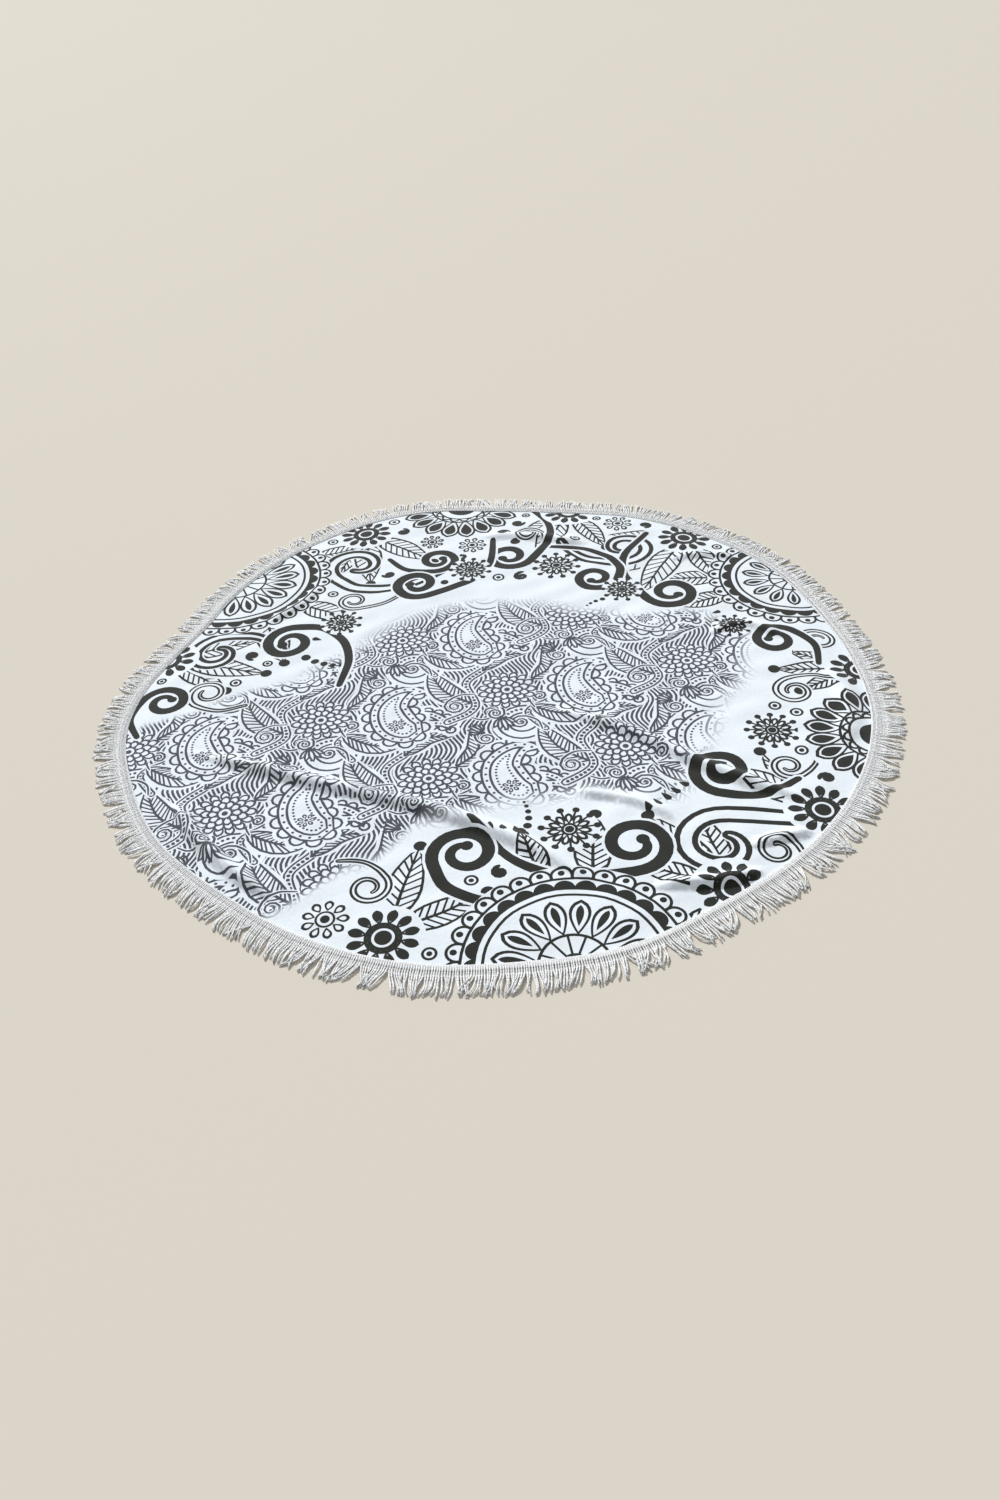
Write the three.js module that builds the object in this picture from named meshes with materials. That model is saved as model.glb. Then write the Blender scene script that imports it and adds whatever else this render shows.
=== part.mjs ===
// Round beach towel laid out on the ground: one disc of printed cotton cloth, with a bought
// fringe trimming sewn round it. Millimetres, +Z up. The origin is the middle of the cloth's
// underside, and the side nearest the viewer is -Y.
import * as THREE from 'three';

// Driving sizes
const clothThick = 3;
const seamGap = 0.3;
const headerWidth = 15;
const headerThick = 2.6;
const strandLength = 45;
const rimSteps = 144;
const locksPerStep = 2;
const foldStep = 27;

// Overall reach of the towel, fringe included, by direction: the towel lies a little out of round.
const outline = [
  { deg: 0, reach: 745 },
  { deg: 15, reach: 742 },
  { deg: 30, reach: 755 },
  { deg: 45, reach: 756 },
  { deg: 60, reach: 754 },
  { deg: 75, reach: 734 },
  { deg: 88, reach: 742 },
  { deg: 100, reach: 770 },
  { deg: 108, reach: 777 },
  { deg: 120, reach: 769 },
  { deg: 135, reach: 751 },
  { deg: 145, reach: 735 },
  { deg: 155, reach: 718 },
  { deg: 165, reach: 729 },
  { deg: 175, reach: 752 },
  { deg: 185, reach: 764 },
  { deg: 197, reach: 758 },
  { deg: 212, reach: 754 },
  { deg: 227, reach: 742 },
  { deg: 240, reach: 747 },
  { deg: 257, reach: 752 },
  { deg: 270, reach: 747 },
  { deg: 284, reach: 751 },
  { deg: 298, reach: 740 },
  { deg: 315, reach: 749 },
  { deg: 330, reach: 755 },
  { deg: 345, reach: 757 },
];

// Soft ridges where the cloth lifts off the ground: the points that each crest runs through,
// its greatest height, and how far its slope reaches on each side.
const folds = [
  { name: 'long front crease', height: 11, side: 31, crest: [[-606, -122], [-340, -246], [-62, -379], [150, -548]] },
  { name: 'right crease', height: 9, side: 30, crest: [[87, -83], [234, -175], [374, -300], [522, -396]] },
  { name: 'right crease branch', height: 6, side: 22, crest: [[106, -318], [219, -358], [282, -412]] },
  { name: 'left edge wrinkle', height: 13, side: 25, crest: [[-582, -256], [-524, -368], [-440, -466], [-374, -526]] },
  { name: 'front right ridge', height: 7, side: 24, crest: [[212, -556], [327, -552], [408, -534]] },
  { name: 'small right ridge', height: 6, side: 20, crest: [[382, -484], [444, -468], [500, -458]] },
  { name: 'right swell', height: 6, side: 38, crest: [[628, -20], [640, -120], [606, -256]] },
  { name: 'inner right ripple', height: 5, side: 24, crest: [[420, 112], [508, 141], [574, 78]] },
  { name: 'back right ripple', height: 5, side: 24, crest: [[386, 400], [466, 412], [546, 392]] },
  { name: 'back ridge', height: 6, side: 30, crest: [[-20, 566], [110, 540], [236, 492]] },
  { name: 'back left ripple', height: 5, side: 26, crest: [[-470, 268], [-404, 330], [-360, 404]] },
];

// How a fold's height falls from its crest to its foot, as shares of its side and height.
const foldSlope = [
  { across: 0, rise: 1 },
  { across: 0.28, rise: 0.82 },
  { across: 0.62, rise: 0.27 },
  { across: 1, rise: 0 },
];
const foldTaper = 0.22;

// A lock of strands from its root in the header to its tip: place along it, width and height.
const lockSections = [
  { along: 0, width: 11.3, height: headerThick },
  { along: 0.52, width: 11, height: 3.4 },
  { along: 1, width: 8.4, height: 2.4 },
];
const lockSway = { slow: 4.5, loose: 1.3, length: 3.5 };

function seededRandom(seed) {
  let state = seed;
  return () => {
    state = (state * 16807) % 2147483647;
    return state / 2147483647;
  };
}

// A smooth curve through the outline's rows, with the last and first ones repeated a turn away.
function reachCurve() {
  const before = outline[outline.length - 1];
  const rows = [
    { deg: before.deg - 360, reach: before.reach },
    ...outline,
    ...outline.slice(0, 2).map((row) => ({ deg: row.deg + 360, reach: row.reach })),
  ];
  return new THREE.CubicInterpolant(rows.map((row) => row.deg), rows.map((row) => row.reach), 1);
}

const reach = reachCurve();

function reachAt(angle) {
  const deg = THREE.MathUtils.euclideanModulo(THREE.MathUtils.radToDeg(angle), 360);
  return reach.evaluate(deg)[0];
}

function headerOuterAt(angle) {
  return reachAt(angle) - strandLength;
}

function headerInnerAt(angle) {
  return headerOuterAt(angle) - headerWidth;
}

function clothEdgeAt(angle) {
  return headerInnerAt(angle) - seamGap;
}

function polar(radius, angle) {
  return new THREE.Vector2(radius * Math.cos(angle), radius * Math.sin(angle));
}

// Collects the corners and faces of one closed body. Faces run anticlockwise seen from outside.
class Body {
  constructor() {
    this.corners = [];
    this.index = [];
  }

  corner(point, height) {
    this.corners.push(point.x, point.y, height);
    return this.corners.length / 3 - 1;
  }

  face(...ring) {
    for (let k = 2; k < ring.length; k += 1) {
      this.index.push(ring[0], ring[k - 1], ring[k]);
    }
  }

  geometry() {
    const geometry = new THREE.BufferGeometry();
    geometry.setAttribute('position', new THREE.Float32BufferAttribute(this.corners, 3));
    geometry.setIndex(this.index);
    geometry.computeVertexNormals();
    return geometry;
  }
}

// One fold in plan: rows of points across the crest at each step along it, drawn in to a single
// point at each end, and the loop of points round its foot.
function planFold(fold, points) {
  const crestPoints = fold.crest.map(([x, y]) => new THREE.Vector3(x, y, 0));
  const crest = new THREE.CatmullRomCurve3(crestPoints);
  const steps = Math.round(crest.getLength() / foldStep);
  const across = [...foldSlope.slice(1).reverse().map((row) => ({ ...row, across: -row.across })), ...foldSlope];
  const rows = [];
  for (let step = 0; step <= steps; step += 1) {
    const along = step / steps;
    const middle = crest.getPointAt(along);
    const tangent = crest.getTangentAt(along);
    const ease = THREE.MathUtils.smoothstep(Math.min(along, 1 - along), 0, foldTaper);
    const isEnd = step === 0 || step === steps;
    const row = (isEnd ? [{ across: 0, rise: 0 }] : across).map((slope) => {
      const aside = slope.across * fold.side * (0.45 + 0.55 * ease);
      points.push({
        plan: new THREE.Vector2(middle.x - tangent.y * aside, middle.y + tangent.x * aside),
        lift: fold.height * ease * slope.rise,
      });
      return points.length - 1;
    });
    rows.push(row);
  }
  const inner = rows.slice(1, -1);
  const foot = [
    rows[0][0],
    ...inner.map((row) => row[0]),
    rows[steps][0],
    ...inner.map((row) => row[row.length - 1]).reverse(),
  ];
  return { rows, foot };
}

function foldFaces({ rows }) {
  const faces = [];
  for (let step = 1; step < rows.length; step += 1) {
    const near = rows[step - 1];
    const far = rows[step];
    for (let k = 1; k < Math.max(near.length, far.length); k += 1) {
      if (near.length === 1) {
        faces.push([near[0], far[k - 1], far[k]]);
      } else if (far.length === 1) {
        faces.push([near[k - 1], far[0], near[k]]);
      } else {
        faces.push([near[k - 1], far[k - 1], far[k]]);
        faces.push([near[k - 1], far[k], near[k]]);
      }
    }
  }
  return faces;
}

// The cloth: a sheet of even thickness, flat on the ground but for its folds.
function towelCloth() {
  const points = [];
  for (let step = 0; step < rimSteps; step += 1) {
    const angle = (step / rimSteps) * 2 * Math.PI;
    points.push({ plan: polar(clothEdgeAt(angle), angle), lift: 0 });
  }
  const rim = points.map((point, k) => k);
  const plannedFolds = folds.map((fold) => planFold(fold, points));
  const loops = [rim, ...plannedFolds.map((fold) => fold.foot)];
  const loopPoints = loops.map((loop) => loop.map((k) => points[k].plan));
  const loopIndex = loops.flat();
  const flatFaces = THREE.ShapeUtils.triangulateShape(loopPoints[0], loopPoints.slice(1));
  const faces = [
    ...flatFaces.map((face) => face.map((k) => loopIndex[k])),
    ...plannedFolds.flatMap(foldFaces),
  ];

  const body = new Body();
  const under = points.map(({ plan, lift }) => body.corner(plan, lift));
  const upper = points.map(({ plan, lift }) => body.corner(plan, lift + clothThick));
  for (const [a, b, c] of faces) {
    const ab = points[b].plan.clone().sub(points[a].plan);
    const ac = points[c].plan.clone().sub(points[a].plan);
    const [first, second] = ab.cross(ac) > 0 ? [b, c] : [c, b];
    body.face(upper[a], upper[first], upper[second]);
    body.face(under[a], under[second], under[first]);
  }
  for (const k of rim) {
    const next = (k + 1) % rimSteps;
    body.face(under[k], under[next], upper[next], upper[k]);
  }
  return body.geometry();
}

// The trimming: a narrow woven header round the cloth's edge, with locks of strands lying level
// on the ground outside it. Each lock leans and ends as loosely as a real one does.
function fringeTrim() {
  const random = seededRandom(11);
  const body = new Body();
  const innerUnder = [];
  const innerUpper = [];
  for (let step = 0; step < rimSteps; step += 1) {
    const angle = (step / rimSteps) * 2 * Math.PI;
    const point = polar(headerInnerAt(angle), angle);
    innerUnder.push(body.corner(point, 0));
    innerUpper.push(body.corner(point, headerThick));
  }

  const lockCount = rimSteps * locksPerStep;
  const outerUnder = [];
  const outerUpper = [];
  for (let lock = 0; lock < lockCount; lock += 1) {
    const angle = ((lock + 0.5) / lockCount) * 2 * Math.PI;
    const root = polar(headerOuterAt(angle), angle);
    const outward = polar(1, angle);
    const aside = polar(1, angle + Math.PI / 2);
    const length = strandLength + lockSway.length * (2 * random() - 1.4);
    const slowLean = Math.sin(7 * angle + 0.6) + 0.7 * Math.sin(17 * angle + 2.1);
    const lean = lockSway.slow * slowLean + lockSway.loose * (2 * random() - 1);
    const sections = lockSections.map(({ along, width, height }) => {
      const middle = root.clone()
        .addScaledVector(outward, length * along)
        .addScaledVector(aside, lean * along * along);
      const right = middle.clone().addScaledVector(aside, -width / 2);
      const left = middle.clone().addScaledVector(aside, width / 2);
      return [
        body.corner(right, 0),
        body.corner(left, 0),
        body.corner(left, height),
        body.corner(right, height),
      ];
    });
    for (let k = 1; k < sections.length; k += 1) {
      const near = sections[k - 1];
      const far = sections[k];
      for (let side = 0; side < near.length; side += 1) {
        const next = (side + 1) % near.length;
        body.face(near[side], near[next], far[next], far[side]);
      }
    }
    body.face(...sections[sections.length - 1]);
    const [rightUnder, leftUnder, leftUpper, rightUpper] = sections[0];
    outerUnder.push(rightUnder, leftUnder);
    outerUpper.push(rightUpper, leftUpper);
  }

  const outerPerStep = 2 * locksPerStep;
  const outerCount = rimSteps * outerPerStep;
  for (let step = 0; step < rimSteps; step += 1) {
    const next = (step + 1) % rimSteps;
    body.face(innerUpper[step], innerUpper[next], innerUnder[next], innerUnder[step]);
    const first = step * outerPerStep;
    for (let k = 0; k < outerPerStep; k += 1) {
      const a = first + k;
      const b = (a + 1) % outerCount;
      const hub = k < outerPerStep / 2 ? step : next;
      body.face(innerUpper[hub], outerUpper[a], outerUpper[b]);
      body.face(innerUnder[hub], outerUnder[b], outerUnder[a]);
      if (a % 2 === 1) {
        body.face(outerUpper[b], outerUpper[a], outerUnder[a], outerUnder[b]);
      }
    }
    const middle = first + outerPerStep / 2;
    body.face(innerUpper[step], outerUpper[middle], innerUpper[next]);
    body.face(innerUnder[step], innerUnder[next], outerUnder[middle]);
  }
  return body.geometry();
}

const printedCotton = new THREE.MeshStandardMaterial({ color: 0xd3d6db, roughness: 0.95, metalness: 0 });
const fringeCotton = new THREE.MeshStandardMaterial({ color: 0xe4e6e6, roughness: 0.95, metalness: 0 });

const cloth = new THREE.Mesh(towelCloth(), printedCotton);
cloth.name = 'towel_cloth';

const trim = new THREE.Mesh(fringeTrim(), fringeCotton);
trim.name = 'fringe_trim';

const towel = new THREE.Group();
towel.add(cloth, trim);

export default towel;
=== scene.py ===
import math
import random

import bpy
import numpy as np
from mathutils import Matrix, Vector
from mathutils.geometry import delaunay_2d_cdt
from mathutils.kdtree import KDTree


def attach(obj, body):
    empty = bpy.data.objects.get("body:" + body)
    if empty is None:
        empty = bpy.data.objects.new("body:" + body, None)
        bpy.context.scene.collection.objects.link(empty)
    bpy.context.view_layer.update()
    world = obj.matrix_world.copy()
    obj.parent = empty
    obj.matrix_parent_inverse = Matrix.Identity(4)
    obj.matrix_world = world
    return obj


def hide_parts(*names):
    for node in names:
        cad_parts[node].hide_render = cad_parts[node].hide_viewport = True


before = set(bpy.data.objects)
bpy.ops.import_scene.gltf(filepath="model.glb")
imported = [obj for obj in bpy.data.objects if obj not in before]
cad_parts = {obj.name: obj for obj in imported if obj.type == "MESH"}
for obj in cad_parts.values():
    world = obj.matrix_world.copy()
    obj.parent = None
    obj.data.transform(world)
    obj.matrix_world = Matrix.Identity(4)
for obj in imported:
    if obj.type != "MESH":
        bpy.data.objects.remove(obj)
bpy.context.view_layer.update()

# Round fringed beach towel: printed cloth, header tape, its seam and about a thousand strands.
# Metres, +Z up. The origin is the middle of the cloth's underside.

tau = 2 * math.pi


# Shape of the cloth as it lies

foldPlan = [
    # height, reach of the slope and points of the crest, whose steeper side is on its right
    # the folds that show most: front, right and left edge
    (0.0140, 0.031, [(-0.606, -0.122), (-0.340, -0.246), (-0.062, -0.379), (0.150, -0.548)]),
    (0.0125, 0.030, [(0.087, -0.083), (0.234, -0.175), (0.374, -0.300), (0.522, -0.396)]),
    (0.0085, 0.022, [(0.106, -0.318), (0.219, -0.358), (0.282, -0.412)]),
    (0.0165, 0.025, [(-0.582, -0.256), (-0.524, -0.368), (-0.440, -0.466), (-0.374, -0.526)]),
    # smaller folds and swells on the right
    (0.0100, 0.024, [(0.212, -0.556), (0.327, -0.552), (0.408, -0.534)]),
    (0.0085, 0.020, [(0.382, -0.484), (0.444, -0.468), (0.500, -0.458)]),
    (0.0080, 0.038, [(0.628, -0.020), (0.640, -0.120), (0.606, -0.256)]),
    (0.0070, 0.024, [(0.420, 0.112), (0.508, 0.141), (0.574, 0.078)]),
    # back
    (0.0065, 0.024, [(0.386, 0.400), (0.466, 0.412), (0.546, 0.392)]),
    (0.0080, 0.030, [(-0.020, 0.566), (0.110, 0.540), (0.236, 0.492)]),
    (0.0065, 0.026, [(-0.470, 0.268), (-0.404, 0.330), (-0.360, 0.404)]),
]

clothLook = {
    "thick": 0.003,
    "foldTaper": 0.22,
    "foldEndWidth": 0.45,
    "steepSide": 0.70,
    "rimPoints": 144,           # of the cloth in the frame
    "rimSteps": 720,
    "gridSpan": 0.72,
    "gridPitch": 0.014,
    "underPitch": 0.028,
    "foldPitch": 0.0085,
    "rippleHeight": 0.0008,
    "rippleFade": 0.06,         # from the edge
    "bareEdge": 0.0015,
    "snap": 0.00002,
    "straighten": 0.00013,
    "crumbSize": 0.00014,       # square metres
    "crumbShare": 0.45,
    "topUvSpan": 1.45,
    "underUv": (0.93, 0.09),    # middle and scale of the hidden side's own corner of the map
    "edgeUv": (0.07, 0.09),
}


def placePoints(points, place):
    x, y, turn = place
    c, s = math.cos(turn), math.sin(turn)
    return [(x + c * px - s * py, y + s * px + c * py) for px, py in points]


def smoothLine(knots, perSpan):
    # Catmull-Rom curve through the knots
    ends = [knots[0], *knots, knots[-1]]
    line = []
    for a, b, c, d in zip(ends, ends[1:], ends[2:], ends[3:]):
        for step in range(perSpan):
            t = step / perSpan
            line.append(tuple(
                0.5 * (2 * b[i] + (c[i] - a[i]) * t + (2 * a[i] - 5 * b[i] + 4 * c[i] - d[i]) * t * t
                       + (3 * b[i] - a[i] - 3 * c[i] + d[i]) * t ** 3)
                for i in (0, 1)))
    line.append(tuple(knots[-1]))
    return line


def smoothStep(t):
    t = np.clip(t, 0.0, 1.0)
    return t * t * (3 - 2 * t)


def liftAt(points):
    # how far the cloth is lifted off the ground at each point of an (n, 2) array
    lift = np.zeros(len(points))
    for height, side, knots in foldPlan:
        crest = np.array(smoothLine(knots, 10))
        spans = np.diff(crest, axis=0)
        lengths = np.hypot(*spans.T)
        reached = np.concatenate([[0.0], np.cumsum(lengths)])
        lo, hi = crest.min(0) - side, crest.max(0) + side
        inside = np.where(((points > lo) & (points < hi)).all(1))[0]
        spot = points[inside]
        best, bestAlong, bestSide = np.full(len(inside), 1e9), np.zeros(len(inside)), np.ones(len(inside))
        for k, span in enumerate(spans):
            t = np.clip(((spot - crest[k]) @ span) / (lengths[k] ** 2), 0, 1)
            away = spot - crest[k] - t[:, None] * span
            gap = np.hypot(*away.T)
            closer = gap < best
            bestSide = np.where(closer, span[0] * away[:, 1] - span[1] * away[:, 0], bestSide)
            best = np.where(closer, gap, best)
            bestAlong = np.where(closer, (reached[k] + t * lengths[k]) / reached[-1], bestAlong)
        ease = smoothStep(np.minimum(bestAlong, 1 - bestAlong) / clothLook["foldTaper"])
        width = clothLook["foldEndWidth"] + (1 - clothLook["foldEndWidth"]) * ease
        reach = side * width * np.where(bestSide < 0, clothLook["steepSide"], 1.0)
        slope = np.cos(np.clip(best / reach, 0, 1) * math.pi / 2) ** 2
        lift[inside] = np.maximum(lift[inside], height * ease * slope)
    return lift


def rippleAt(points):
    # slight unevenness that any cloth keeps, never below the ground
    x, y = points.T
    waves = (np.sin(23 * x + 9 * y + 0.4) + np.sin(-14 * x + 27 * y + 1.9)
             + 0.7 * np.sin(41 * x + 35 * y + 4.1) + 0.6 * np.sin(-52 * x + 18 * y + 2.7))
    fine = (np.sin(74 * x + 38 * y + 0.9 + 2 * np.sin(9 * y)) * np.sin(13 * x - 17 * y + 0.3)
            + np.sin(-46 * x + 92 * y + 2.2 + 2 * np.sin(11 * x)) * np.sin(12 * x + 15 * y + 1.4))
    return clothLook["rippleHeight"] * ((waves + 3.3) / 2 + 0.8 * (fine + 2))


def readRim(nodeName):
    # radius of the CAD cloth's edge by direction, from the frame
    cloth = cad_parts[nodeName].data
    spots = np.array([v.co for v in cloth.vertices])[:, :2]
    angle = np.degrees(np.arctan2(spots[:, 1], spots[:, 0])) % 360
    radius = np.hypot(*spots.T)
    count = clothLook["rimPoints"]
    step = angle * count / 360
    onRay = np.abs((step + 0.5) % 1 - 0.5) < 0.02
    ray = np.round(step).astype(int) % count
    return np.array([radius[onRay & (ray == k)].max() for k in range(count)])


rimRadius = readRim("towel_cloth")


def edgeAt(angle):
    # radius of the cloth's edge in any direction, smooth between the frame's own points
    place = (np.asarray(angle, float) / tau % 1) * len(rimRadius)
    k = np.floor(place).astype(int)
    t = place - k
    a, b, c, d = (rimRadius[(k + shift) % len(rimRadius)] for shift in (-1, 0, 1, 2))
    bend, twist = 2 * a - 5 * b + 4 * c - d, 3 * b - a - 3 * c + d
    return 0.5 * (2 * b + (c - a) * t + bend * t ** 2 + twist * t ** 3)


def inwardAt(points):
    # distance inside the cloth's edge
    x, y = points.T
    return edgeAt(np.arctan2(y, x)) - np.hypot(x, y)


def staggeredGrid(pitch):
    # points all over the towel in offset rows
    span, rowShare = clothLook["gridSpan"], 0.866
    rows, columns = (np.arange(-span, span, step) for step in (pitch * rowShare, pitch))
    return np.array([(x + (k % 2) * pitch / 2, y) for k, y in enumerate(rows) for x in columns])


# Drawing the print: every shape is laid over the ones before it, as with stencils

printShapes = []


def lay(tone, points, place=(0.0, 0.0, 0.0)):
    printShapes.append((tone, placePoints(points, place)))


def roundOutline(radius, x=0.0, y=0.0, count=16):
    turns = [tau * k / count for k in range(count)]
    return [(x + radius * math.cos(a), y + radius * math.sin(a)) for a in turns]


def layDot(tone, radius, x, y, place=(0.0, 0.0, 0.0), count=14):
    lay(tone, roundOutline(radius, x, y, count), place)


def layRing(tone, radius, line, place, count):
    lay(tone, roundOutline(radius, count=count), place)
    lay("cloth", roundOutline(radius - line, count=count), place)


def lineLength(line):
    return sum(math.dist(a, b) for a, b in zip(line, line[1:]))


def walkLine(line, share):
    # point and direction at a share of the line's length
    target = share * lineLength(line)
    for a, b in zip(line, line[1:]):
        span = math.dist(a, b)
        if span >= target and span > 0:
            break
        target -= span
    t = min(1.0, target / max(span, 1e-9))
    heading = ((b[0] - a[0]) / max(span, 1e-9), (b[1] - a[1]) / max(span, 1e-9))
    return (a[0] + (b[0] - a[0]) * t, a[1] + (b[1] - a[1]) * t), heading


def bandOutline(line, width, cap=2):
    # outline of a stroke; width is a number or a function of the share along, cap rounds its ends
    last = len(line) - 1
    left, right = [], []
    for k, (x, y) in enumerate(line):
        a, b = line[max(k - 1, 0)], line[min(k + 1, last)]
        length = math.dist(a, b) or 1e-9
        half = (width(k / last) if callable(width) else width) / 2
        nx, ny = -(b[1] - a[1]) / length * half, (b[0] - a[0]) / length * half
        left.append((x + nx, y + ny))
        right.append((x - nx, y - ny))

    def endCap(centre, edge):
        arm = (edge[0] - centre[0], edge[1] - centre[1])
        return [placePoints([arm], (*centre, -math.pi * k / (cap + 1)))[0] for k in range(1, cap + 1)]

    return left + endCap(line[-1], left[-1]) + right[::-1] + endCap(line[0], right[0])


def leafOutline(spine, width, skew, fullness, start=0.0, end=1.0, count=9):
    # closed outline round a spine, drawn in to a point at both ends
    left, right = [], []
    for k in range(count + 1):
        t = k / count
        (x, y), (dx, dy) = walkLine(spine, start + (end - start) * t)
        half = width / 2 * math.sin(math.pi * t ** skew) ** fullness if 0 < k < count else 0
        left.append((x - dy * half, y + dx * half))
        if 0 < k < count:
            right.append((x + dy * half, y - dx * half))
    return left + right[::-1]


def layTrimmedLeaf(tone, spine, width, line, place, skew, fullness, count=9):
    # a leaf or petal drawn as an outline of the given line
    step = line / lineLength(spine)
    lay(tone, leafOutline(spine, width, skew, fullness, count=count), place)
    inner = leafOutline(spine, width - 2 * line, skew, fullness, 1.2 * step, 1 - 1.4 * step, count)
    lay("cloth", inner, place)


def layPetal(tone, place, start, length, width, turn, line, skew=1.4, fullness=0.62):
    c, s = math.cos(turn), math.sin(turn)
    spine = [(start * c, start * s), ((start + length) * c, (start + length) * s)]
    layTrimmedLeaf(tone, spine, width, line, place, skew, fullness, 9 if tone == "black" else 6)


def layPetalRing(tone, place, count, start, length, width, line, offset=0.0, solid=0.0):
    for k in range(count):
        layPetal(tone, place, start, length, width, offset + tau * k / count, line)
    for k in range(count if solid else 0):
        c, s = math.cos(offset + tau * k / count), math.sin(offset + tau * k / count)
        near, far = start + length * 0.22, start + length * 0.84
        spine = [(near * c, near * s), (far * c, far * s)]
        lay(tone, leafOutline(spine, width * solid, 1.4, 0.65, count=8), place)


def curlPath(radius, turns, tail, hand, inner, detail):
    # a tail that runs into a coil; the place is the middle of the coil
    steps = max(6, int(detail * turns))
    coil = []
    for k in range(steps + 1):
        t = k / steps
        r = radius * (1 + (inner - 1) * t ** 0.85)
        a = hand * (tau * turns * t - math.pi / 2)
        coil.append((r * math.cos(a), r * math.sin(a)))
    return smoothLine([(-x * radius, y * radius * hand) for x, y in tail] + coil[:1], 5)[:-1] + coil


tails = {
    "long": ((4.3, 0.9), (3.2, -0.5), (2.0, -1.1), (1.0, -1.12)),
    "short": ((2.3, 0.1), (1.5, -0.75), (0.7, -1.0)),
    "hook": ((2.6, 2.2), (2.5, 0.8), (1.9, -0.4), (0.9, -1.05)),
    "none": ((0.5, -1.05),),
}


def layCurl(tone, place, radius, turns, width, tail, hand, ball=0.64, inner=0.24, detail=10):
    path = curlPath(radius, turns, tails[tail], hand, inner, detail)

    def taper(t):
        return width * (0.42 + 0.6 * math.sin(math.pi * min(1, 0.05 + 0.9 * t)) ** 0.7)

    lay("cloth", bandOutline(path, lambda t: taper(t) + 0.3 * width + 0.003), place)
    lay(tone, bandOutline(path, taper), place)
    layDot(tone, width * ball, *path[-1], place, 12)


def layOutlinedCurl(tone, place, radius, turns, width, line, tail, hand):
    path = curlPath(radius, turns, tails[tail], hand, 0.34, 26)

    def wide(t):
        return width * (0.5 + 0.5 * math.sin(math.pi * min(1, 0.1 + 0.85 * t)))

    lay("cloth", bandOutline(path, lambda t: wide(t) + 0.006), place)
    lay(tone, bandOutline(path, wide, 3), place)
    lay("cloth", bandOutline(path, lambda t: max(0.001, wide(t) - 2 * line), 3), place)


def layBeadedRibbon(tone, place, knots, width, line, pitch):
    path = smoothLine(knots, 6)
    lay("cloth", bandOutline(path, width + 2 * line), place)
    lay(tone, bandOutline(path, width), place)
    lay("cloth", bandOutline(path, width - 2 * line), place)
    count = int(lineLength(path) / pitch)
    for k in range(count):
        layDot(tone, width * 0.21, *walkLine(path, (k + 0.5) / count)[0], place, 6)


def layRibbedLeaf(tone, place, knots, width, line, ribs, ball=0.0):
    spine = smoothLine(knots, 5)
    lay("cloth", leafOutline(spine, width + 3 * line, 0.8, 0.85), place)
    layTrimmedLeaf(tone, spine, width, line, place, 0.8, 0.9)
    for k in range(ribs):
        share = 0.10 + 0.74 * k / ribs
        foot = walkLine(spine, share)[0]
        tip = share + 0.13
        (ex, ey), (dx, dy) = walkLine(spine, tip)
        half = (width / 2 - 0.7 * line) * math.sin(math.pi * tip ** 0.8) ** 0.9
        for side in (half, -half):
            lay(tone, bandOutline([foot, (ex - dy * side, ey + dx * side)], line * 0.72, 0), place)
    vein = [walkLine(spine, 0.02 + 0.94 * k / 8)[0] for k in range(9)]
    lay(tone, bandOutline(vein, lambda t: line * (1.3 - 0.6 * t), 0), place)
    if ball:
        layDot(tone, ball, *spine[-1], place, 16)


def layDahlia(tone, place, radius, line):
    lay("cloth", roundOutline(radius * 0.96, count=20), place)
    rings = [(15, 0.48, 0.52, 0.32, 0.0), (13, 0.30, 0.48, 0.33, 0.2), (10, 0.16, 0.40, 0.30, 0.0)]
    for count, start, length, width, offset in rings:
        sizes = (radius * start, radius * length, radius * width)
        layPetalRing(tone, place, count, *sizes, line * 0.8, offset)
    layRing(tone, radius * 0.25, line * 0.8, place, 12)
    layDot(tone, radius * 0.10, 0, 0, place, 8)


def layDaisy(tone, place, radius, line, petals):
    lay("cloth", roundOutline(radius * 1.28, count=24), place)
    for k in range(petals):
        a = tau * (k + 0.5) / petals
        c, s = radius * math.cos(a), radius * math.sin(a)
        lay(tone, bandOutline([(0.5 * c, 0.5 * s), (1.12 * c, 1.12 * s)], line * 0.8, 0), place)
        layDot(tone, radius * 0.16, 1.18 * c, 1.18 * s, place)
        layPetal(tone, place, radius * 0.3, radius * 0.66, radius * 0.36, tau * k / petals, line * 0.9)
    layRing(tone, radius * 0.36, line, place, 20)
    layDot(tone, radius * 0.2, 0, 0, place, 14)


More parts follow.
